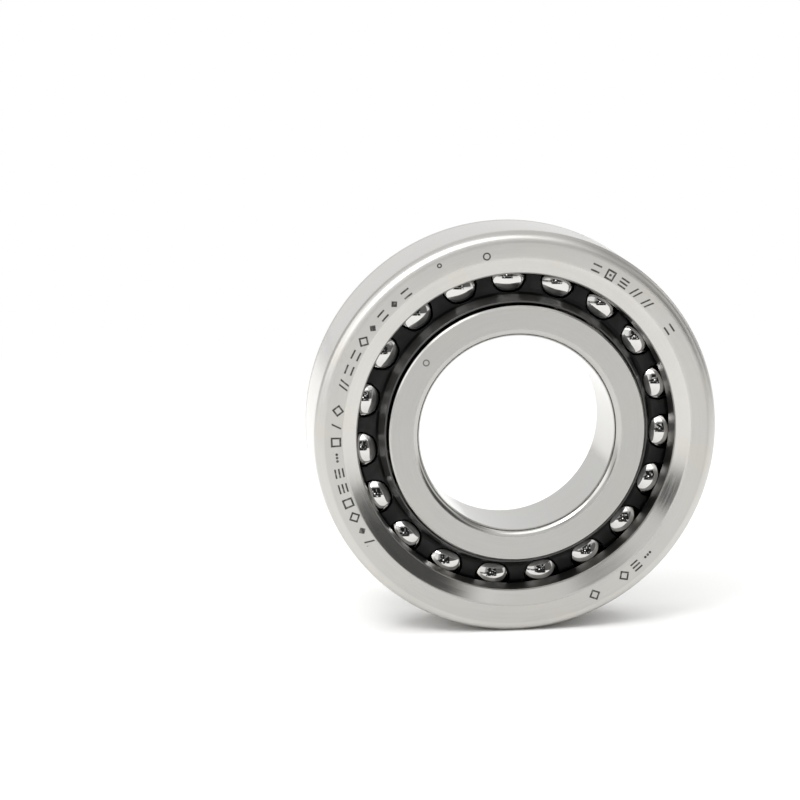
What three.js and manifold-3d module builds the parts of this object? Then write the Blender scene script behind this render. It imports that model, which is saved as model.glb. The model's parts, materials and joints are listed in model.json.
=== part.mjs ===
// Single-row angular contact ball bearing for axial load, 60 degree contact
// angle, open on both sides: outer ring, inner ring, moulded cage and balls.
//
// Millimetres. The bearing axis is +Y and the origin is the bearing's centre.
// The side facing -Y shows the outer ring's thick shoulder and the inner
// ring's low shoulder; the side facing +Y shows the opposite shoulders.
// The bearing stands on its outside diameter, so +Z is up.

import * as THREE from 'three';
import { mergeVertices } from 'three/addons/utils/BufferGeometryUtils.js';
import Module from 'manifold-3d';

const { degToRad } = THREE.MathUtils;

// ---------------------------------------------------------------- dimensions
const BORE_RADIUS = 15;
const OUTER_RADIUS = 31;
const WIDTH = 15;
const HALF_WIDTH = WIDTH / 2;

// balls
const BALL_COUNT = 19;
const BALL_DIAMETER = 7.144;
const BALL_RADIUS = BALL_DIAMETER / 2;
const PITCH_RADIUS = 23.4;          // ball centres
const FIRST_BALL_ANGLE = degToRad(16.2); // from +X towards +Z
const POCKET_GAP = 0.14;            // ball to cage pocket

// grooves
const CONTACT_ANGLE = degToRad(60); // from the radial plane
const GROOVE_RADIUS = 0.52 * BALL_DIAMETER;
const RACE_GAP = 0.05;              // ball to groove along the contact line

// outer ring
const OUTER_CORNER = 1.8;           // rounded outside corner on the -Y face
const OUTER_CORNER_FAR = 0.8;       // chamfered outside corner on the +Y face
const OUTER_FACE_INNER_RADIUS = 26.95; // where the -Y face meets its bevel
const OUTER_LIP_RADIUS = 24.5;      // inner end of the bevel
const OUTER_SHOULDER_RADIUS = 24.2; // edge of the groove, thick shoulder
const OUTER_OPEN_RADIUS = 26.6;     // +Y side wall, just inside the balls' outer reach
const OUTER_OPEN_CHAMFER = 0.6;
const BEVEL_DEPTH = 1;              // axial depth, both rings

// inner ring: its high shoulder is the outer ring's thick one turned about
// the ball centre
const turnedRadius = (radius) => 2 * PITCH_RADIUS - radius;
const INNER_SHOULDER_RADIUS = turnedRadius(OUTER_SHOULDER_RADIUS);
const INNER_LIP_RADIUS = turnedRadius(OUTER_LIP_RADIUS);
const INNER_FACE_OUTER_RADIUS = turnedRadius(OUTER_FACE_INNER_RADIUS);
const INNER_LOW_RADIUS = 19.75;     // low shoulder, -Y side
const INNER_LOW_CHAMFER = 0.25;
const BORE_CHAMFER = 1.1;           // radial
const BORE_CHAMFER_DEPTH = 0.95;    // axial

// subdivision
const RING_SEGMENTS = 4 * BALL_COUNT;
const CAGE_SEGMENTS = 3 * BALL_COUNT; // whole segments per ball, so every pocket is alike
const GROOVE_STEPS = 8;
const CORNER_STEPS = 4;
const BALL_DETAIL = 2;

// ------------------------------------------------------------------ materials
const ringSteel = (color) => new THREE.MeshStandardMaterial({
  color,
  roughness: 0.34,
  metalness: 0.95,
});
const ballSteel = () => new THREE.MeshStandardMaterial({
  color: 0xd9dcdf,
  roughness: 0.08,
  metalness: 1,
});
const polymer = () => new THREE.MeshStandardMaterial({
  color: 0x15161a,
  roughness: 0.55,
  metalness: 0,
});

// -------------------------------------------------------------------- helpers
const wasm = await Module();
wasm.setup();

// Keeps positions only and welds them, which closes the surface.
function weld(geometry) {
  geometry.deleteAttribute('normal');
  geometry.deleteAttribute('uv');
  return mergeVertices(geometry, 1e-4);
}

// Closed loop of [radius, y] points revolved about Y. The loop runs
// counterclockwise, with radius to the right and y up, so the faces point out.
function revolve(loop, segments) {
  const points = [...loop, loop[0]].map(([radius, y]) => new THREE.Vector2(radius, y));
  return weld(new THREE.LatheGeometry(points, segments));
}

const sphere = (radius) => weld(new THREE.IcosahedronGeometry(radius, BALL_DETAIL));

function toManifold(geometry) {
  return new wasm.Manifold(new wasm.Mesh({
    numProp: 3,
    vertProperties: new Float32Array(geometry.attributes.position.array),
    triVerts: new Uint32Array(geometry.index.array),
  }));
}

function fromManifold(solid) {
  const mesh = solid.getMesh();
  const positions = new Float32Array(mesh.vertProperties);
  const geometry = new THREE.BufferGeometry();
  geometry.setAttribute('position', new THREE.BufferAttribute(positions, 3));
  geometry.setIndex(new THREE.BufferAttribute(new Uint32Array(mesh.triVerts), 1));
  return geometry;
}

function part(name, geometry, material) {
  geometry.computeVertexNormals();
  const mesh = new THREE.Mesh(geometry, material);
  mesh.name = name;
  return mesh;
}

// [radius, y] points along an arc, ends included. Angles run from the outward
// radial direction towards +y.
function arc(centre, arcRadius, start, end, steps) {
  return Array.from({ length: steps + 1 }, (_, i) => {
    const angle = start + ((end - start) * i) / steps;
    return [
      centre[0] + arcRadius * Math.cos(angle),
      centre[1] + arcRadius * Math.sin(angle),
    ];
  });
}

// -------------------------------------------------------------------- grooves
// Each groove's centre is shifted from the ball's, away from its own contact
// point, so the ball bears at CONTACT_ANGLE. The outer ring's contact lies
// outwards and towards -Y, the inner ring's opposite.
const grooveShift = GROOVE_RADIUS - BALL_RADIUS - RACE_GAP;
const shiftRadial = grooveShift * Math.cos(CONTACT_ANGLE);
const shiftAxial = grooveShift * Math.sin(CONTACT_ANGLE);
const OUTER_GROOVE_CENTRE = [PITCH_RADIUS - shiftRadial, shiftAxial];
const INNER_GROOVE_CENTRE = [PITCH_RADIUS + shiftRadial, -shiftAxial];

// Angle, from 0 to PI, at which a groove circle reaches a bearing radius.
const grooveAngle = (centre, radius) => Math.acos((radius - centre[0]) / GROOVE_RADIUS);

const grooveArc = (centre, start, end) => arc(centre, GROOVE_RADIUS, start, end, GROOVE_STEPS);

// ---------------------------------------------------------------------- rings
function outerRing() {
  const cornerCentre = [OUTER_RADIUS - OUTER_CORNER, -HALF_WIDTH + OUTER_CORNER];
  const openAngle = grooveAngle(OUTER_GROOVE_CENTRE, OUTER_OPEN_RADIUS);
  const shoulderAngle = -grooveAngle(OUTER_GROOVE_CENTRE, OUTER_SHOULDER_RADIUS);
  const loop = [
    [OUTER_FACE_INNER_RADIUS, -HALF_WIDTH],
    ...arc(cornerCentre, OUTER_CORNER, -Math.PI / 2, 0, CORNER_STEPS),
    [OUTER_RADIUS, HALF_WIDTH - OUTER_CORNER_FAR],
    [OUTER_RADIUS - OUTER_CORNER_FAR, HALF_WIDTH],
    [OUTER_OPEN_RADIUS + OUTER_OPEN_CHAMFER, HALF_WIDTH],
    [OUTER_OPEN_RADIUS, HALF_WIDTH - OUTER_OPEN_CHAMFER],
    ...grooveArc(OUTER_GROOVE_CENTRE, openAngle, shoulderAngle),
    [OUTER_LIP_RADIUS, -HALF_WIDTH + BEVEL_DEPTH],
  ];
  return part('outer_ring', revolve(loop, RING_SEGMENTS), ringSteel(0xb9b6b0));
}

function innerRing() {
  // A full turn is added so the arc passes through the groove's bottom at PI.
  const lowAngle = 2 * Math.PI - grooveAngle(INNER_GROOVE_CENTRE, INNER_LOW_RADIUS);
  const shoulderAngle = grooveAngle(INNER_GROOVE_CENTRE, INNER_SHOULDER_RADIUS);
  const loop = [
    [BORE_RADIUS, -HALF_WIDTH + BORE_CHAMFER_DEPTH],
    [BORE_RADIUS + BORE_CHAMFER, -HALF_WIDTH],
    [INNER_LOW_RADIUS - INNER_LOW_CHAMFER, -HALF_WIDTH],
    [INNER_LOW_RADIUS, -HALF_WIDTH + INNER_LOW_CHAMFER],
    ...grooveArc(INNER_GROOVE_CENTRE, lowAngle, shoulderAngle),
    [INNER_LIP_RADIUS, HALF_WIDTH - BEVEL_DEPTH],
    [INNER_FACE_OUTER_RADIUS, HALF_WIDTH],
    [BORE_RADIUS + BORE_CHAMFER, HALF_WIDTH],
    [BORE_RADIUS, HALF_WIDTH - BORE_CHAMFER_DEPTH],
  ];
  return part('inner_ring', revolve(loop, RING_SEGMENTS), ringSteel(0xb3b1ac));
}

// ---------------------------------------------------------------------- balls
const ballAngles = Array.from(
  { length: BALL_COUNT },
  (_, i) => FIRST_BALL_ANGLE + (2 * Math.PI * i) / BALL_COUNT,
);

const ballCentre = (angle) => new THREE.Vector3(
  PITCH_RADIUS * Math.cos(angle),
  0,
  PITCH_RADIUS * Math.sin(angle),
);

function ball(angle, i) {
  const name = `ball_${String(i + 1).padStart(2, '0')}`;
  const mesh = part(name, sphere(BALL_RADIUS), ballSteel());
  mesh.position.copy(ballCentre(angle));
  mesh.rotation.y = -angle;
  return mesh;
}

// ----------------------------------------------------------------------- cage
// One moulded ring whose section runs obliquely between the two shoulders: a
// thin rim stands over the inner ring's low shoulder on the -Y side, and the
// +Y side fills the gap under the outer ring's open wall.
// Columns: radius, y.
const CAGE_LOOP = [
  [20.0, 0.0], [20.0, -6.1], [20.1, -6.2], [20.3, -6.2],        // rim
  [20.62, -4.6], [20.9, -3.5], [21.2, -3.02], [21.7, -2.85],    // sweep out from the rim
  [24.1, -2.65], [26.25, -0.5],                                 // -Y side, then slope
  [26.25, 4.3], [26.05, 4.5], [25.7, 4.5],                      // outer wall and +Y edge
  [24.75, 3.3], [24.4, 2.85], [22.7, 2.65],                     // +Y side
];

function cage() {
  // The lathe starts at +Z; this turn centres a facet on every ball.
  const turn = Math.PI / 2 - FIRST_BALL_ANGLE + Math.PI / CAGE_SEGMENTS;
  let solid = toManifold(revolve(CAGE_LOOP, CAGE_SEGMENTS).rotateY(turn));
  for (const angle of ballAngles) {
    const pocket = sphere(BALL_RADIUS + POCKET_GAP)
      .rotateY(-angle)
      .translate(...ballCentre(angle));
    solid = solid.subtract(toManifold(pocket));
  }
  return part('cage', fromManifold(solid), polymer());
}

// ------------------------------------------------------------------- assembly
const ballSet = new THREE.Group();
ballSet.add(...ballAngles.map(ball));

const bearing = new THREE.Group();
bearing.name = 'angular_contact_bearing';
bearing.add(outerRing(), innerRing(), cage(), ballSet);

export default bearing;
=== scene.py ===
"""A ball bearing standing on a pale floor in a white studio.

The bearing's axis is Y and its centre is the origin. The camera looks along +Y at the face on
the -Y side, called the front here, with +X to its right. Lengths are millimetres until a mesh
is made, except in the stage, which is in metres.
"""
import json
import math

import bpy
import numpy as np
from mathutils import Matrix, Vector


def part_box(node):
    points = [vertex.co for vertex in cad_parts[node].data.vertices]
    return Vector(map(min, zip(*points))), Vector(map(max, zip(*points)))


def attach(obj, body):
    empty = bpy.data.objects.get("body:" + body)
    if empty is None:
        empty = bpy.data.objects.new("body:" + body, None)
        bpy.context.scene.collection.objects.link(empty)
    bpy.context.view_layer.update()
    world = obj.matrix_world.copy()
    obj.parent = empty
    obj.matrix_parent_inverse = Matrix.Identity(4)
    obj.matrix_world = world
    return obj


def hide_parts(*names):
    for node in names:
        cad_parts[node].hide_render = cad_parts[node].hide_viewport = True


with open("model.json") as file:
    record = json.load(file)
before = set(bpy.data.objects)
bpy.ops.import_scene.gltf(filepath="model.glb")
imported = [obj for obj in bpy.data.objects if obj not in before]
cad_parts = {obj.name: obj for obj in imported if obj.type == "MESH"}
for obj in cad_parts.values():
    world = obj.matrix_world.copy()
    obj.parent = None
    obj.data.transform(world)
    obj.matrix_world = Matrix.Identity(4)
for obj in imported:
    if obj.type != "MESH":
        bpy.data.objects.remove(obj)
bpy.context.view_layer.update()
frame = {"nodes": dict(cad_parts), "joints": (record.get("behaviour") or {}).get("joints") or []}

MM = 0.001
TO_DEGREES = 180 / math.pi

# ------------------------------------------------------------------ driving sizes
ring_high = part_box("outer_ring")[1]
OUTSIDE_R = ring_high.x / MM
HALF_WIDTH = ring_high.y / MM
BORE_R = 15.0
PITCH_R = 23.4                              # circle through the ball centres
BALL_R = 3.572
BALLS = sorted(name for name in frame["nodes"] if name.startswith("ball_"))
BALL_PLACES = {                             # ball name: centre, rolling axis
    joint["child"]: (np.array(joint["pos_m"], float) / MM, np.array(joint["axis"], float))
    for joint in frame["joints"]
    if joint["child"] in BALLS
}
first_centre = BALL_PLACES[BALLS[0]][0]
FIRST_ANGLE = math.atan2(first_centre[2], first_centre[0])
SECTOR = 2 * math.pi / len(BALLS)           # angle from ball to ball

# Ball tracks: arcs a little larger than the ball, their centres moved off the ball's
# centre along the line of contact.
TRACK_R = 0.52 * 2 * BALL_R
TRACK_SHIFT = TRACK_R - BALL_R - 0.05
CONTACT = math.radians(60)                  # from the radial direction
SHIFT_R, SHIFT_Y = TRACK_SHIFT * math.cos(CONTACT), TRACK_SHIFT * math.sin(CONTACT)
OUTER_TRACK = (PITCH_R - SHIFT_R, SHIFT_Y)
INNER_TRACK = (PITCH_R + SHIFT_R, -SHIFT_Y)


# --------------------------------------------------------------------- mesh tools
def make_mesh(name, points_mm, quads, normals, edge=None):
    """A smooth mesh in metres with its own normals and, if given, an 'edge' attribute."""
    mesh = bpy.data.meshes.new(name)
    points = np.asarray(points_mm, np.float64) * MM
    quads = np.asarray(quads, np.int32)
    mesh.vertices.add(len(points))
    mesh.vertices.foreach_set("co", points.astype(np.float32).ravel())
    mesh.loops.add(quads.size)
    mesh.loops.foreach_set("vertex_index", quads.ravel())
    mesh.polygons.add(len(quads))
    mesh.polygons.foreach_set("loop_start", (np.arange(len(quads)) * 4).astype(np.int32))
    mesh.polygons.foreach_set("loop_total", np.full(len(quads), 4, np.int32))
    mesh.update(calc_edges=True)
    mesh.validate()
    mesh.polygons.foreach_set("use_smooth", np.ones(len(mesh.polygons), bool))
    if edge is not None:
        attribute = mesh.attributes.new("edge", "FLOAT", "POINT")
        attribute.data.foreach_set("value", np.asarray(edge, np.float32))
    mesh.normals_split_custom_set_from_vertices([tuple(normal) for normal in normals])
    piece = bpy.data.objects.new(name, mesh)
    bpy.context.scene.collection.objects.link(piece)
    return piece


def arc_point(centre, radius, degrees, fillet=0.0):
    """A section point (r, y, fillet) on a circle, its angle from +r towards +y."""
    angle = math.radians(degrees)
    return (centre[0] + radius * math.cos(angle), centre[1] + radius * math.sin(angle), fillet)


def arc(centre, radius, start, end, steps):
    """Section points on an arc, both ends left out."""
    return [
        arc_point(centre, radius, start + (end - start) * i / steps) for i in range(1, steps)
    ]


def bowed_corner(start, end, radius, fillet=0.07, steps=10):
    """A corner from start to end, bowed outwards (to the right of the way along)."""
    start, end = np.array(start, float), np.array(end, float)
    chord = np.linalg.norm(end - start)
    along = (end - start) / chord
    outward = np.array([along[1], -along[0]])
    centre = (start + end) / 2 - outward * math.sqrt(radius ** 2 - (chord / 2) ** 2)
    first, last = (
        math.degrees(math.atan2(point[1] - centre[1], point[0] - centre[0]))
        for point in (start, end)
    )
    return [(*start, fillet), *arc(centre, radius, first, last, steps), (*end, fillet)]


def track(centre, start, end, fillets, steps):
    """A ball track from angle start to angle end, with a fillet at each end."""
    return [
        arc_point(centre, TRACK_R, start, fillets[0]),
        *arc(centre, TRACK_R, start, end, steps),
        arc_point(centre, TRACK_R, end, fillets[1]),
    ]


def filleted(loop, fillet_steps=5, support=0.14, long_side=0.6):
    """A closed counter-clockwise loop of (r, y, fillet) to points, normals and edge weights.

    A side longer than long_side gets a support point just past each fillet.
    """
    corners = np.array([(r, y) for r, y, _ in loop], float)
    rows = []
    for i, (_, _, fillet) in enumerate(loop):
        corner = corners[i]
        arriving = corner - corners[i - 1]
        leaving = corners[(i + 1) % len(loop)] - corner
        length_in, length_out = np.linalg.norm(arriving), np.linalg.norm(leaving)
        arriving, leaving = arriving / length_in, leaving / length_out
        normal_in = np.array([arriving[1], -arriving[0]])
        normal_out = np.array([leaving[1], -leaving[0]])
        turn = math.atan2(
            arriving[0] * leaving[1] - arriving[1] * leaving[0], arriving @ leaving
        )
        if fillet <= 0 or abs(turn) < 1e-3:
            middle = normal_in + normal_out
            rows.append((corner, middle / np.linalg.norm(middle), 0.0))
            continue
        half_turn = math.tan(abs(turn) / 2)
        setback = min(fillet * half_turn, 0.45 * length_in, 0.45 * length_out)
        radius = setback / half_turn
        side = 1.0 if turn > 0 else -1.0
        start, end = corner - arriving * setback, corner + leaving * setback
        centre = start - normal_in * radius * side
        if length_in > long_side:
            rows.append((start - arriving * support, normal_in, 0.0))
        for k in range(fillet_steps + 1):
            angle = turn * k / fillet_steps
            cos, sin = math.cos(angle), math.sin(angle)
            normal = np.array([
                normal_in[0] * cos - normal_in[1] * sin,
                normal_in[0] * sin + normal_in[1] * cos,
            ])
            rows.append((centre + normal * radius * side, normal, min(1.0, 0.15 / radius)))
        if length_out > long_side:
            rows.append((end + leaving * support, normal_out, 0.0))
    return (np.array(column) for column in zip(*rows))


def lathe(name, loop, segments):
    """A closed ring: the loop turned about Y."""
    points, normals, edge = filleted(loop)
    count = len(points)
    angle = 2 * math.pi * np.arange(segments) / segments
    cos, sin = np.cos(angle)[:, None], np.sin(angle)[:, None]

    def turned(section):
        height = np.broadcast_to(section[:, 1], (segments, count))
        return np.stack([section[:, 0] * cos, height, section[:, 0] * sin], -1).reshape(-1, 3)

    i, j = np.arange(segments)[:, None], np.arange(count)[None, :]
    next_i, next_j = (i + 1) % segments, (j + 1) % count
    quads = np.stack(
        [i * count + j, i * count + next_j, next_i * count + next_j, next_i * count + j], -1
    )
    return make_mesh(
        name, turned(points), quads.reshape(-1, 4), turned(normals), np.tile(edge, segments)
    )


# ---------------------------------------------------------------------- the rings
def track_angle(centre, radius):
    """Degrees, 0 to 180, at which a track reaches a distance from the bearing's axis."""
    return math.degrees(math.acos((radius - centre[0]) / TRACK_R))


def build_outer_ring():
    front_r = 1.80                          # rounded outside corner at the front
    back = 0.80                             # outside corner at the back
    return lathe("outer_ring_visual", [
        (26.90, -HALF_WIDTH, 1.60),
        (OUTSIDE_R - front_r, -HALF_WIDTH, 0.0),
        *arc((OUTSIDE_R - front_r, -HALF_WIDTH + front_r), front_r, -90, 0, 18),
        (OUTSIDE_R, -HALF_WIDTH + front_r, 0.0),
        *bowed_corner((OUTSIDE_R, HALF_WIDTH - back), (OUTSIDE_R - back, HALF_WIDTH), 1.0),
        (27.20, HALF_WIDTH, 0.08),
        (26.60, HALF_WIDTH - 0.60, 0.10),
        *track(
            OUTER_TRACK, track_angle(OUTER_TRACK, 26.6), -track_angle(OUTER_TRACK, 24.2),
            fillets=(0.06, 0.07), steps=26,
        ),
        (24.50, -HALF_WIDTH + 1.00, 0.10),
    ], segments=836)


def build_inner_ring():
    face_r = 16.10                          # where both flat faces begin
    wall_y = HALF_WIDTH - 1.00              # where the bore wall ends
    return lathe("inner_ring_visual", [
        *bowed_corner((BORE_R, -wall_y), (face_r, -HALF_WIDTH), 1.35),
        (19.50, -HALF_WIDTH, 0.06),
        (19.75, -HALF_WIDTH + 0.25, 0.06),
        *track(
            INNER_TRACK, 360 - track_angle(INNER_TRACK, 19.75), track_angle(INNER_TRACK, 22.6),
            fillets=(0.0, 0.07), steps=22,
        ),
        (22.30, HALF_WIDTH - 1.00, 0.10),
        (19.85, HALF_WIDTH, 0.10),
        *bowed_corner((face_r, HALF_WIDTH), (BORE_R, wall_y), 1.35),
    ], segments=684)


# ---------------------------------------------------------------------- the balls
def build_ball(name, centre, axis, steps=22):
    """A sphere of six curved square patches, one of them centred on the rolling axis."""
    across = np.tan(np.linspace(-math.pi / 4, math.pi / 4, steps + 1))
    a, b = np.meshgrid(across, across, indexing="ij")
    one = np.ones_like(a)
    sides = [(one, a, b), (-one, b, a), (b, one, a), (a, -one, b), (a, b, one), (b, a, -one)]
    row = steps + 1
    i, j = np.meshgrid(np.arange(steps), np.arange(steps), indexing="ij")
    corner = i * row + j
    patch = np.stack([corner, corner + row, corner + row + 1, corner + 1], -1).reshape(-1, 4)
    points = np.concatenate([np.stack(side, -1).reshape(-1, 3) for side in sides])
    points /= np.linalg.norm(points, axis=1)[:, None]
    quads = np.concatenate([patch + k * row ** 2 for k in range(len(sides))])

    # join the patches along their shared borders
    key = np.round(points * 1e5).astype(np.int64)
    _, first, merged = np.unique(key, axis=0, return_index=True, return_inverse=True)
    points, quads = points[first], merged.ravel()[quads]

    # turn every face outwards
    middle = points[quads].mean(1)
    origin = points[quads[:, 0]]
    facing = np.cross(points[quads[:, 1]] - origin, points[quads[:, 2]] - origin)
    inward = (facing * middle).sum(1) < 0
    quads[inward] = quads[inward][:, ::-1]

    side = np.cross(axis, (0, 1, 0))
    side /= np.linalg.norm(side)
    points = points @ np.stack([side, np.cross(axis, side), axis], 1).T
    return make_mesh(name, points * BALL_R + centre, quads, points)


# ----------------------------------------------------------------------- the cage
# Section outline between pockets: radius, y.
CAGE_OUTLINE = np.array([
    (20.00, 0.00), (20.00, -6.20), (20.30, -6.20), (20.62, -4.60), (20.90, -3.50),
    (21.20, -3.02), (21.70, -2.85), (24.10, -2.65), (26.25, -0.50), (26.25, 4.50),
    (25.70, 4.50), (24.75, 3.30), (24.40, 2.85), (22.70, 2.65),
])
POCKET_R = BALL_R + 0.14
POCKET_BLEND = 0.20                         # width of the rounding at the pocket rims
FIELD_STEP = 0.03
FIELD_R = np.arange(19.2, 27.2, FIELD_STEP)
FIELD_Y = np.arange(-7.1, 5.4, FIELD_STEP)
SOFTENING = 0.065                           # blur that rounds the section's corners
BLUR_REACH = 14                             # in field steps


def polygon_distance(points, polygon):
    """Signed distance of points (n, 2) to a polygon, negative inside."""
    nearest = np.full(len(points), 1e9)
    inside = np.zeros(len(points), bool)
    for k in range(len(polygon)):
        start, end = polygon[k - 1], polygon[k]
        side, offset = end - start, points - start
        along = np.clip((offset @ side) / (side @ side), 0, 1)
        nearest = np.minimum(nearest, ((offset - along[:, None] * side) ** 2).sum(1))
        spans = (start[1] > points[:, 1]) != (end[1] > points[:, 1])
        with np.errstate(divide="ignore", invalid="ignore"):
            hit = start[0] + (points[:, 1] - start[1]) * (end[0] - start[0]) / (end[1] - start[1])
        inside ^= spans & (points[:, 0] < hit)
    return np.where(inside, -1, 1) * np.sqrt(nearest)


def softened_field():
    """The section's distance field on a fine grid, blurred so that each corner has a radius."""
    r, y = np.meshgrid(FIELD_R, FIELD_Y, indexing="ij")
    distance = polygon_distance(np.stack([r.ravel(), y.ravel()], 1), CAGE_OUTLINE)
    offset = np.arange(-BLUR_REACH, BLUR_REACH + 1) * FIELD_STEP
    kernel = np.exp(-0.5 * (offset / SOFTENING) ** 2)
    kernel /= kernel.sum()
    soft = np.pad(distance.reshape(r.shape), BLUR_REACH, mode="edge")
    for axis in (0, 1):
        soft = np.apply_along_axis(lambda line: np.convolve(line, kernel, "valid"), axis, soft)
    return soft


field = softened_field()


def section_distance(radius, y):
    """The softened field, read between its grid points."""
    i = np.clip((radius - FIELD_R[0]) / FIELD_STEP, 0, len(FIELD_R) - 1.001)
    j = np.clip((y - FIELD_Y[0]) / FIELD_STEP, 0, len(FIELD_Y) - 1.001)
    i0, j0 = i.astype(int), j.astype(int)
    part_i, part_j = i - i0, j - j0
    return (
        field[i0, j0] * (1 - part_i) * (1 - part_j)
        + field[i0 + 1, j0] * part_i * (1 - part_j)
        + field[i0, j0 + 1] * (1 - part_i) * part_j
        + field[i0 + 1, j0 + 1] * part_i * part_j
    )


def cage_distance(angle, radius, y):
    """The ring less its ball pockets, with rounded rims; angle is from the first ball."""
    turn = (angle + SECTOR / 2) % SECTOR - SECTOR / 2
    body = section_distance(radius, y)
    from_ball = np.sqrt(np.maximum(
        radius * radius + PITCH_R ** 2 - 2 * radius * PITCH_R * np.cos(turn) + y * y, 0
    ))
    pocket = POCKET_R - from_ball
    overlap = np.maximum(POCKET_BLEND - np.abs(body - pocket), 0) / POCKET_BLEND
    return np.maximum(body, pocket) + overlap * overlap * POCKET_BLEND / 4


def cage_distance_xyz(points):
    x, y, z = points.T
    return cage_distance(np.arctan2(z, x) - FIRST_ANGLE, np.hypot(x, z), y)


def cage_gradient(points, reach=0.02):
    slope = np.zeros_like(points)
    for axis in range(3):
        nudge = np.zeros(3)
        nudge[axis] = reach
        rise = cage_distance_xyz(points + nudge) - cage_distance_xyz(points - nudge)
        slope[:, axis] = rise / (2 * reach)
    return slope


def cage_grid():
    """Grid lines in angle, radius and y."""
    per_sector = 30
    # stations in one sector, closest together at the webs midway between balls
    even = (np.arange(per_sector) + 0.5) / per_sector * 2 - 1
    eased = 0.62 * even + 0.38 * np.sin(np.pi * even / 2)
    starts = SECTOR * np.arange(len(BALLS))[:, None]
    angles = (eased[None, :] * SECTOR / 2 + starts).ravel()
    # finer across the thin front rim
    radii = np.concatenate([
        np.arange(19.76372, 20.74777, 0.115), np.arange(20.79777, 26.75, 0.24202),
    ])
    heights = np.concatenate([
        np.arange(-6.49, -5.95, 0.09),
        np.arange(-5.88, -1.88963, 0.24068),
        np.arange(-1.80963, 5.0, 0.25283),
    ])
    return angles, radii, heights


def build_cage(name):
    """Surface nets: a point in each grid cell the surface crosses, a quad for each crossed edge."""
    angles, radii, heights = cage_grid()
    values = cage_distance(angles[:, None, None], radii[None, :, None], heights[None, None, :])
    turns, rings, levels = values.shape
    closed = np.concatenate([values, values[:1]], 0)

    def corner(i, j, k):
        return closed[i:turns + i, j:rings - 1 + j, k:levels - 1 + k]

    # mean place, within each cell, of the crossings on its twelve edges
    total = np.zeros((turns, rings - 1, levels - 1, 3))
    count = np.zeros(total.shape[:3])
    for axis in range(3):
        for b in (0, 1):
            for c in (0, 1):
                near, far = [b, c], [b, c]
                near.insert(axis, 0)
                far.insert(axis, 1)
                start, end = corner(*near), corner(*far)
                hit = (start < 0) != (end < 0)
                place = list(near)
                place[axis] = np.where(hit, start / np.where(hit, start - end, 1), 0)
                for k in range(3):
                    total[..., k] += np.where(hit, place[k], 0)
                count += hit
    active = count > 0
    index = -np.ones(active.shape, int)
    index[active] = np.arange(active.sum())
    i, j, k = np.nonzero(active)
    part = total[active] / count[active][:, None]
    ends = np.concatenate([angles, [angles[0] + 2 * math.pi]])
    angle = ends[i] + (ends[i + 1] - ends[i]) * part[:, 0] + FIRST_ANGLE
    radius = radii[j] + (radii[j + 1] - radii[j]) * part[:, 1]
    y = heights[k] + (heights[k + 1] - heights[k]) * part[:, 2]
    points = np.stack([radius * np.cos(angle), y, radius * np.sin(angle)], 1)

    # start and end of the edges along angle, radius and y, and the four cells round each
    solid = closed < 0
    once = solid[:turns]
    edges = (
        (solid[:-1, 1:-1, 1:-1], solid[1:, 1:-1, 1:-1],
         ((0, 0, 0), (0, 1, 0), (0, 1, 1), (0, 0, 1))),
        (once[:, :-1, 1:-1], once[:, 1:, 1:-1],
         ((-1, 0, 0), (-1, 0, 1), (0, 0, 1), (0, 0, 0))),
        (once[:, 1:-1, :-1], once[:, 1:-1, 1:],
         ((-1, 0, 0), (0, 0, 0), (0, 1, 0), (-1, 1, 0))),
    )
    quads = []
    for start, end, cells in edges:
        i, j, k = np.nonzero(start != end)
        faces = np.stack([index[(i + di) % turns, j + dj, k + dk] for di, dj, dk in cells], 1)
        entering = ~start[i, j, k]
        faces[entering] = faces[entering][:, ::-1]
        quads.append(faces)

    # pull the points onto the surface, in steps of at most 0.08
    for _ in range(4):
        slope = cage_gradient(points)
        steepness = np.maximum((slope ** 2).sum(1), 0.2)
        step = (cage_distance_xyz(points) / steepness)[:, None] * slope
        length = np.linalg.norm(step, axis=1)[:, None]
        points = points - step * np.minimum(1, 0.08 / np.maximum(length, 1e-9))
    normals = cage_gradient(points)
    normals /= np.linalg.norm(normals, axis=1)[:, None]
    return make_mesh(name, points, np.concatenate(quads), normals)


outer_ring = build_outer_ring()
inner_ring = build_inner_ring()
balls = {name: build_ball(name + "_visual", *BALL_PLACES[name]) for name in BALLS}
cage = build_cage("cage_visual")


# ------------------------------------------------------------------- shader maths
class Value:
    """A shader output that does arithmetic: each operation adds a Math node to its net."""

    def __init__(self, net, socket):
        self.net = net
        self.socket = socket

    def __add__(self, other):
        return self.net.math("ADD", self, other)

    def __radd__(self, other):
        return self.net.math("ADD", other, self)

    def __sub__(self, other):
        return self.net.math("SUBTRACT", self, other)

    def __rsub__(self, other):
        return self.net.math("SUBTRACT", other, self)

    def __mul__(self, other):
        return self.net.math("MULTIPLY", self, other)

    def __rmul__(self, other):
        return self.net.math("MULTIPLY", other, self)

    def __truediv__(self, other):
        return self.net.math("DIVIDE", self, other)

    def __abs__(self):
        return self.net.math("ABSOLUTE", self)

    def times_plus(self, factor, offset):
        return self.net.math("MULTIPLY_ADD", self, factor, offset)

    def swing(self, amount):
        """A noise value as a variation about 0."""
        return (self - 0.5) * amount

    def ramp(self, zero_at, one_at):
        """A smooth step from 0 to 1, rising or falling."""
        if zero_at > one_at:
            return 1.0 - self.ramp(one_at, zero_at)
        inputs = {"Value": self, "From Min": zero_at, "From Max": one_at}
        node = self.net.new("ShaderNodeMapRange", inputs, interpolation_type="SMOOTHSTEP")
        return self.net.out(node, "Result")

    def window(self, low, high, soft):
        """1 between low and high, with soft ends."""
        return self.ramp(low - soft, low + soft) * self.ramp(high + soft, high - soft)


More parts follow.
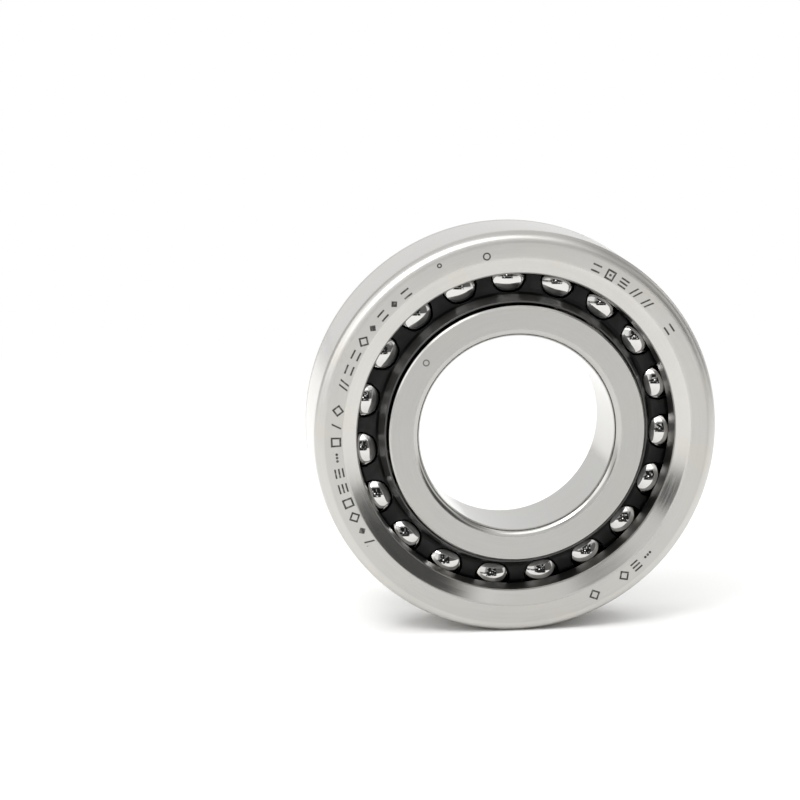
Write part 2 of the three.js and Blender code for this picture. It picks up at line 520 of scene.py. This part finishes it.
class Net:
    """A node tree with short hands. Inputs are Values or plain numbers."""

    def __init__(self, tree):
        self.tree = tree
        tree.nodes.clear()

    def new(self, kind, inputs=None, **props):
        node = self.tree.nodes.new(kind)
        for key, value in props.items():
            setattr(node, key, value)
        for key, value in (inputs or {}).items():
            if isinstance(value, Value):
                self.tree.links.new(value.socket, node.inputs[key])
            else:
                node.inputs[key].default_value = value
        return node

    def out(self, node, key=0):
        return Value(self, node.outputs[key])

    def math(self, operation, *operands):
        node = self.new("ShaderNodeMath", dict(enumerate(operands)), operation=operation)
        return self.out(node)

    def length(self, x, y):
        return self.math("SQRT", x * x + y * y)

    def split(self, vector):
        node = self.new("ShaderNodeSeparateXYZ", {0: vector})
        return [self.out(node, k) for k in range(3)]

    def join(self, x, y, z):
        return self.out(self.new("ShaderNodeCombineXYZ", {0: x, 1: y, 2: z}))

    def coordinates(self, kind):
        return self.out(self.new("ShaderNodeTexCoord"), kind)

    def object_mm(self):
        """Object position in millimetres."""
        inputs = {0: self.coordinates("Object"), "Scale": 1 / MM}
        return self.out(self.new("ShaderNodeVectorMath", inputs, operation="SCALE"))

    def noise(self, vector, scale, detail=2.0, rough=0.5, distortion=0.0):
        inputs = {
            "Vector": vector, "Scale": scale, "Detail": detail,
            "Roughness": rough, "Distortion": distortion,
        }
        return self.out(self.new("ShaderNodeTexNoise", inputs, noise_dimensions="3D"), "Fac")

    def mix(self, factor, first, second):
        inputs = {0: factor, 2: first, 3: second}
        return self.out(self.new("ShaderNodeMix", inputs, data_type="FLOAT"))

    def mix_colour(self, factor, first, second):
        inputs = {0: factor, 6: first, 7: second}
        return self.out(self.new("ShaderNodeMix", inputs, data_type="RGBA"), 2)

    def mix_shader(self, factor, first, second):
        inputs = {0: factor, 1: first, 2: second}
        return self.out(self.new("ShaderNodeMixShader", inputs))

    def tint(self, base, amount):
        """The base colour made lighter or darker by amount, about 0."""
        factor = 1.0 + amount
        return self.join(base[0] * factor, base[1] * factor, base[2] * factor)

    def bump(self, height, strength, distance):
        inputs = {"Strength": strength, "Distance": distance, "Height": height}
        return self.out(self.new("ShaderNodeBump", inputs), "Normal")

    def principled(self, **inputs):
        """A principled shader; an underscore in a name stands for a space."""
        inputs = {key.replace("_", " "): value for key, value in inputs.items()}
        return self.out(self.new("ShaderNodeBsdfPrincipled", inputs))

    def finish(self, shader, kind="ShaderNodeOutputMaterial"):
        self.new(kind, {"Surface": shader})


def new_material(name):
    material = bpy.data.materials.new(name)
    material.use_nodes = True
    return material, Net(material.node_tree)


# ------------------------------------------------------------------- etched marks
# Plain strokes, dots and tiles in rows on the front face. Angles are degrees from +X towards +Z.
MARK_ROWS = (                               # radius, first angle, last angle, shape seed
    (27.85, 168.6, 216.0, 3.0),
    (27.85, 125.5, 166.2, 21.0),
    (27.85, 42.5, 68.0, 40.0),
    (27.95, 31.5, 36.4, 61.0),
    (28.20, 304.0, 319.0, 75.0),
    (28.30, 293.0, 297.9, 90.0),
)
MARK_PITCH = 2.42
LINE_HALF = 0.135                           # half the width of a stroke
LINE_SOFT = 0.05


def line(distance, half=LINE_HALF):
    return distance.ramp(half + LINE_SOFT, half - LINE_SOFT)


def circle_mark(net, x, z, place, size, half_line):
    """A small circle; place is its centre's radius and angle."""
    radius, angle = place[0], math.radians(place[1])
    off_x = net.math("POWER", x - radius * math.cos(angle), 2.0)
    off_z = net.math("POWER", z - radius * math.sin(angle), 2.0)
    distance = net.math("SQRT", off_x + off_z)
    return abs(distance - size).ramp(half_line + 0.05, half_line - 0.03)


def rows_of_marks(net, ring_r, angle):
    """Each row sets the radius and start where it lies, so one set of shapes serves them all."""
    inside, radius, start, seed = 0.0, 0.0, 0.0, 0.0
    for row_r, first, last, row_seed in MARK_ROWS:
        past = net.math("MODULO", angle + (720.0 - first), 360.0)
        here = net.math("LESS_THAN", past, (last - first) % 360)
        inside = here + inside
        radius = here.times_plus(row_r, radius)
        start = here.times_plus(first, start)
        seed = here.times_plus(row_seed, seed)
    past = net.math("MODULO", angle + 720.0 - start, 360.0)
    along = past * (math.pi / 180) * radius
    cell = net.math("FLOOR", along / MARK_PITCH)

    # place within the cell: across runs round the ring, up runs outwards
    across = along - (cell + 0.5) * MARK_PITCH
    up = ring_r - radius
    off_across, off_up = abs(across), abs(up)
    lean = up.times_plus(0.42, across)
    pick = net.new("ShaderNodeTexWhiteNoise", {"W": cell + seed}, noise_dimensions="1D")
    choice = net.out(pick, "Value")

    def dot(x):
        return net.length(x, up).ramp(0.25, 0.16)

    tall = line(off_up, 0.74)
    wide = line(off_across, 0.72)
    bars = abs(net.math("PINGPONG", up + 0.29, 0.58) - 0.29)
    box = line(abs(net.math("MAXIMUM", off_across, off_up * 0.92) - 0.60))
    middle_dot = dot(across)
    shapes = (                              # lower and upper choice, shape
        (0.0, 0.08, line(abs(lean)) * tall),                       # leaning stroke
        (0.08, 0.22, line(abs(abs(lean) - 0.38)) * tall),          # two leaning strokes
        (0.22, 0.34, line(abs(off_up - 0.48)) * wide),             # two bars
        (0.34, 0.42, (off_across + off_up).ramp(0.66, 0.54)),      # solid diamond
        (0.56, 0.68, line(bars) * wide * off_up.ramp(0.76, 0.68)),  # stacked bars
        (0.68, 0.80, line(abs(off_across + off_up - 0.76), 1.4 * LINE_HALF)),  # open diamond
        (0.42, 0.56, box),
        (0.80, 0.92, net.math("MAXIMUM", box, middle_dot)),        # box with a dot
        (0.92, 1.01, net.math("MAXIMUM", middle_dot, dot(off_across - 0.52))),  # three dots
    )
    ink = 0.0
    for low, high, shape in shapes:
        chosen = net.math("GREATER_THAN", choice, low) * net.math("LESS_THAN", choice, high)
        ink = chosen.times_plus(shape, ink)
    return ink * inside


def on_front_face(net, ink, y):
    face = y.ramp(-HALF_WIDTH + 0.03, -HALF_WIDTH + 0.02)
    return net.math("MINIMUM", ink, 1.0) * face


def outer_marks(net, x, y, z, radius):
    angle = net.math("ARCTAN2", z, x) * TO_DEGREES
    ink = rows_of_marks(net, radius, angle)
    ink = ink + circle_mark(net, x, z, place=(27.75, 100.3), size=0.50, half_line=0.10)
    ink = ink + circle_mark(net, x, z, place=(28.75, 115.0), size=0.28, half_line=0.09)
    worn = net.noise(net.join(x, y, z), scale=2.3, detail=3.0, rough=0.6).ramp(0.30, 0.52)
    return on_front_face(net, ink, y) * worn.times_plus(0.3, 0.7)


def inner_marks(net, x, y, z, radius):
    ink = circle_mark(net, x, z, place=(18.1, 141.3), size=0.44, half_line=0.09)
    return on_front_face(net, ink, y) * 0.75


# ---------------------------------------------------------------------- materials
def ring_steel(name, base, marks):
    material, net = new_material(name)
    position = net.object_mm()
    x, y, z = net.split(position)
    radius = net.length(x, z)
    along = radius + y * 0.81               # runs across both the faces and the walls

    def streaks(turn, across, detail):
        """Noise drawn out round the ring: a low turn is long, a high across is fine."""
        vector = net.join(x / radius * turn, along * across, z / radius * turn)
        return net.noise(vector, scale=1.0, detail=detail, rough=0.6)

    fine = streaks(turn=5.0, across=16.0, detail=4.0)
    broad = streaks(turn=2.2, across=2.6, detail=2.0)
    cloud = net.noise(position, scale=0.09, detail=3.0, rough=0.55, distortion=0.4)
    speck = net.noise(position, scale=1.7, detail=4.0, rough=0.7)

    # masks: faces square to the axis, the outer ring's front inside wall, its outside corners,
    # and broken wear along filleted edges; the faces and the wall carry painted shade
    # painted shade: flat faces are darkened to stand in for the dimmer light they reflect
    flat_painted_shade = abs(net.split(net.coordinates("Normal"))[1]).ramp(0.955, 0.995)
    # painted shade: the shoulder wall inside the front lip is darkened where it lies in shade
    shoulder_wall_painted_shade = radius.window(24.1, 24.7, soft=0.05) * y.ramp(-3.3, -3.5)
    outside = radius.ramp(OUTSIDE_R - 1.7, OUTSIDE_R - 1.3)
    corner = outside * abs(y).ramp(HALF_WIDTH - 2.2, HALF_WIDTH - 1.7)
    fillet = net.out(net.new("ShaderNodeAttribute", attribute_name="edge"), "Fac")
    edge = fillet * speck.ramp(0.35, 0.62)

    # a base roughness and what each mask and noise adds to it
    rough = (
        0.15 + flat_painted_shade * 0.18 + corner * 0.20 + shoulder_wall_painted_shade * 0.26
        + fine.swing(0.16) + broad.swing(0.10) + cloud.swing(0.14) + edge * 0.05
    )
    # how much each lightens or darkens the base colour; the flat-face and wall terms are painted
    # shade, not a finish
    tone = (
        fine.swing(0.14) + broad.swing(0.09) + cloud.swing(0.10)
        + flat_painted_shade * -0.11 + edge * 0.06 + shoulder_wall_painted_shade * -0.62
    )
    colour = net.tint(base, tone)
    warm = net.noise(position, scale=0.16, detail=2.0, rough=0.5).ramp(0.45, 0.75)
    warm_colour = (base[0] * 0.98, base[1] * 0.93, base[2] * 0.84, 1)
    colour = net.mix_colour(warm * 0.25, colour, warm_colour)
    height = streaks(turn=4.0, across=7.0, detail=3.0) * 1.0 + broad * 0.35

    # marks are dark, rougher, sunk and half metallic
    ink = marks(net, x, y, z, radius)
    colour = net.mix_colour(ink * 0.95, colour, (0.018, 0.017, 0.016, 1))
    rough = ink.times_plus(0.28, rough)
    height = height - ink * 3.0
    tangent = net.out(net.new("ShaderNodeTangent", direction_type="RADIAL", axis="Y"))
    net.finish(net.principled(
        Base_Color=colour,
        Metallic=1.0 - ink * 0.5,
        Roughness=net.math("MAXIMUM", rough, 0.06),
        Anisotropic=0.35,
        Tangent=tangent,
        Normal=net.bump(height, strength=0.16, distance=0.000006),
    ))
    return material


def ball_steel():
    material, net = new_material("ball_steel")
    position = net.object_mm()
    haze = net.noise(position, scale=3.4, detail=2.0, rough=0.55, distortion=0.3)
    film = net.noise(position, scale=2.6, detail=4.0, rough=0.65, distortion=0.6)
    net.finish(net.principled(
        Base_Color=net.tint((0.63, 0.622, 0.605), film.swing(0.16)),
        Metallic=1.0,
        Roughness=haze.ramp(0.60, 0.74) * 0.20,
        Normal=net.bump(film, strength=0.05, distance=0.00001),
    ))
    return material


def cage_polymer():
    material, net = new_material("cage_polymer")
    position = net.object_mm()
    x, y, z = net.split(position)
    grain = net.noise(position, scale=9.0, detail=3.0, rough=0.6)
    drawn_out = net.join(x * 1.0, y * 0.4, z)
    flow = net.noise(drawn_out, scale=0.7, detail=4.0, rough=0.6, distortion=0.8)
    oil = net.noise(position, scale=0.45, detail=3.0, rough=0.6, distortion=0.5).ramp(0.42, 0.62)
    rim = y.ramp(-3.35, -3.75)              # the front rim, next to the inner ring
    # painted sheen: the rim's base colour is lightened to stand in for the glossy reflection on the
    # front land
    rim_painted_sheen = rim * flow.times_plus(0.9, 0.35)
    net.finish(net.principled(
        # base colour: random flow tone plus the painted sheen on the rim
        Base_Color=net.tint((0.0065, 0.0063, 0.006), flow.swing(0.7) + rim_painted_sheen * 5.0),
        Roughness=0.44 + grain.swing(0.18) + oil * -0.10 + rim * -0.04,
        Specular_IOR_Level=rim.times_plus(0.55, 0.20),
        Coat_Weight=oil * 0.10,
        Coat_Roughness=0.2,
        Normal=net.bump(grain + flow * 0.6, strength=0.35, distance=0.00003),
    ))
    return material


outer_material = ring_steel("outer_ring_steel", (0.555, 0.545, 0.522), outer_marks)
inner_material = ring_steel("inner_ring_steel", (0.485, 0.479, 0.461), inner_marks)
ball_material = ball_steel()
cage_material = cage_polymer()

for piece, body, material, slot in (
    (outer_ring, "outer_ring", outer_material, "outer_ring_steel"),
    (inner_ring, "inner_ring", inner_material, "inner_ring_steel"),
    (cage, "cage", cage_material, "cage_polymer"),
    *((ball, name, ball_material, "ball_steel") for name, ball in balls.items()),
):
    piece.data.materials.append(material)
    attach(piece, body)
    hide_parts(body)


# ---------------------------------------------------------------- floor (metres)
BACKDROP = 1.0                              # brightness of the background to the camera
FLOOR_Z = -OUTSIDE_R * MM - 0.00002
FLOOR_RINGS = (0.05, 0.12, 0.3, 0.8, 2.2)
FLOOR_SEGMENTS = 96


def floor_paper():
    """Pale paper that fades into the backdrop, with a dark part only sharp reflections see."""
    material, net = new_material("floor_paper")
    geometry = net.new("ShaderNodeNewGeometry")
    position = net.out(geometry, "Position")
    grain = net.noise(position, scale=900.0, detail=3.0, rough=0.6)
    paper_colour = net.tint((0.86, 0.86, 0.855), grain.swing(0.015))
    paper = net.new("ShaderNodeBsdfDiffuse", {"Color": paper_colour})
    dark = net.new("ShaderNodeBsdfDiffuse", {"Color": (0.02, 0.02, 0.02, 1)})
    glow = net.new("ShaderNodeEmission", {"Color": (1, 1, 1, 1), "Strength": BACKDROP})
    x, y, _ = net.split(position)
    distance = net.length(x, y)
    path = net.new("ShaderNodeLightPath")
    to_camera = net.out(path, "Is Camera Ray")
    in_x, in_y, in_z = net.split(net.out(geometry, "Incoming"))
    bearing = net.math("ARCTAN2", in_x * -1.0, in_y) * TO_DEGREES
    rise = net.math("ARCSINE", in_z) * TO_DEGREES
    shade = (
        bearing.window(-27.0, 26.0, soft=3.0) * rise.ramp(12.0, 9.0)
        * net.out(path, "Is Singular Ray") * (1.0 - to_camera)
    )
    table = net.mix_shader(shade, net.out(paper), net.out(dark))
    fade = distance.ramp(0.045, 0.26) * to_camera
    net.finish(net.mix_shader(fade, table, net.out(glow)))
    return material


def build_floor():
    count = FLOOR_SEGMENTS
    turns = [2 * math.pi * i / count for i in range(count)]
    points = [(0, 0, 0)]
    for radius in FLOOR_RINGS:
        points += [(radius * math.cos(turn), radius * math.sin(turn), 0) for turn in turns]
    faces = [(0, 1 + i, 1 + (i + 1) % count) for i in range(count)]
    for k in range(len(FLOOR_RINGS) - 1):
        a, b = 1 + k * count, 1 + (k + 1) * count
        faces += [
            (a + i, b + i, b + (i + 1) % count, a + (i + 1) % count) for i in range(count)
        ]
    mesh = bpy.data.meshes.new("floor")
    mesh.from_pydata(points, [], faces)
    mesh.update()
    floor = bpy.data.objects.new("floor", mesh)
    floor.location.z = FLOOR_Z
    bpy.context.scene.collection.objects.link(floor)
    mesh.materials.append(floor_paper())


build_floor()

# -------------------------------------------------------------------------- world
# The camera sees plain white; the steel sees a room. Each row is a patch of light, in degrees:
# azimuth (low, high, soft), 0 towards -Y and positive towards +X; elevation as () for any,
# (zero at, one at) for a ramp or (low, high, soft) for a window; and the light it adds.
ROOM_SIDES = (
    ((64.0, 88.0, 4.0), (), 0.80),
    ((-112.0, -96.0, 4.0), (), 0.80),
    ((112.0, 124.0, 3.0), (), 0.45),
    ((128.0, 136.0, 1.5), (10.0, 22.0, 1.5), 1.8),
)
SHARP_FRONT = (                             # what polished steel sees: a dark front
    ((-27.0, 26.0, 2.5), (), -0.14),
    ((-74.0, -33.0, 3.0), (7.0, 60.0, 3.0), 0.95),
    ((-33.0, -21.0, 2.0), (9.0, 60.0, 3.0), 0.35),
    ((-7.0, -3.0, 1.0), (6.0, 10.0, 1.0), 4.0),
    ((3.0, 6.0, 0.8), (18.0, 30.0, 1.0), 0.5),
    ((-20.0, -16.0, 0.8), (14.0, 17.0, 1.0), 0.9),
)
BROAD_FRONT = (                             # what ground steel sees: a bright front
    ((-92.0, 24.0, 4.0), (), 0.86),
    ((-150.0, -92.0, 5.0), (), 0.55),
    ((24.0, 60.0, 5.0), (4.0, -2.0), 0.30),
    ((20.0, 60.0, 5.0), (24.0, 32.0), 0.60),
    ((-22.0, -6.0, 3.0), (20.0, 36.0, 3.0), -0.45),
    ((-37.0, -25.0, 1.5), (-2.0, 8.5, 1.5), -0.82),
    ((-112.0, -46.0, 7.0), (14.0, 60.0, 6.0), 0.85),
    ((100.0, 146.0, 5.0), (), 0.45),
)
CEILING = (
    ((-80.0, 30.0, 8.0), (44.0, 72.0, 4.0), 1.35),
    ((40.0, 70.0, 6.0), (50.0, 66.0, 3.0), 0.5),
)


def build_world():
    world = bpy.data.worlds.new("studio")
    bpy.context.scene.world = world
    world.use_nodes = True
    net = Net(world.node_tree)
    x, y, z = net.split(net.coordinates("Generated"))
    sine = net.math("MAXIMUM", net.math("MINIMUM", z, 1.0), -1.0)
    elevation = net.math("ARCSINE", sine) * TO_DEGREES
    azimuth = net.math("ARCTAN2", x, y * -1.0) * TO_DEGREES

    def lit(total, rows):
        for across, upward, light in rows:
            shape = azimuth.window(*across)
            if len(upward) == 2:
                shape = shape * elevation.ramp(*upward)
            elif upward:
                shape = shape * elevation.window(*upward)
            total = total + shape * light
        return total

    back_wall = abs(azimuth).ramp(146.0, 162.0) * 0.85
    sides = lit(back_wall, ROOM_SIDES)
    sharp = lit(sides + 0.16, SHARP_FRONT)
    broad = lit(sides + 0.10, BROAD_FRONT)
    singular = net.out(net.new("ShaderNodeLightPath"), "Is Singular Ray")
    room = net.mix(singular, broad, sharp)

    # ground steel sees an unlit wall high on the right
    high_right = azimuth.window(44.0, 128.0, soft=8.0) * elevation.window(20.0, 56.0, soft=4.0)
    dim = high_right * (1.0 - singular)
    ceiling = lit(0.90, CEILING) * (1.0 - dim * 0.60)
    room = net.mix(elevation.ramp(34.0, 42.0), net.math("MAXIMUM", room, 0.02), ceiling)
    table_light = 0.75                      # below the horizon
    room = net.mix(elevation.ramp(0.5, -1.5), room, table_light)
    to_camera = net.out(net.new("ShaderNodeLightPath"), "Is Camera Ray")
    strength = net.mix(to_camera, room, BACKDROP)
    inputs = {"Color": (1.0, 1.0, 1.0, 1), "Strength": strength}
    net.finish(net.out(net.new("ShaderNodeBackground", inputs)), "ShaderNodeOutputWorld")


build_world()


# ------------------------------------------------------- lights, camera (metres)
def aim(thing, direction):
    thing.rotation_euler = Vector(direction).to_track_quat("-Z", "Y").to_euler()


def softbox(name, place, size, power, mirrored=True):
    """A rectangular lamp aimed at the bearing; mirrored means reflections show it."""
    lamp = bpy.data.lights.new(name, "AREA")
    lamp.shape = "RECTANGLE"
    lamp.size, lamp.size_y = size
    lamp.energy = power
    holder = bpy.data.objects.new(name, lamp)
    holder.location = place
    aim(holder, -Vector(place))
    bpy.context.scene.collection.objects.link(holder)
    holder.visible_glossy = mirrored


def build_camera():
    lens = bpy.data.cameras.new("camera")
    lens.lens, lens.sensor_width = 135.0, 36.0
    lens.clip_start, lens.clip_end = 0.01, 20.0
    camera = bpy.data.objects.new("camera", lens)
    bpy.context.scene.collection.objects.link(camera)
    camera.location = (-0.078116, -0.447616, 0.090617)
    aim(camera, (0.132681, 0.973230, -0.187666))
    bpy.context.scene.camera = camera


softbox("key", place=(-0.30, -0.34, 0.52), size=(0.30, 0.22), power=1.5)
softbox("fill", place=(0.42, -0.10, 0.48), size=(0.24, 0.30), power=0.9, mirrored=False)
softbox("rear", place=(-0.10, 0.46, 0.42), size=(0.34, 0.16), power=0.7, mirrored=False)
build_camera()

bpy.context.scene.view_settings.view_transform = "Standard"
bpy.context.scene.view_settings.look = "None"

bpy.context.view_layer.update()
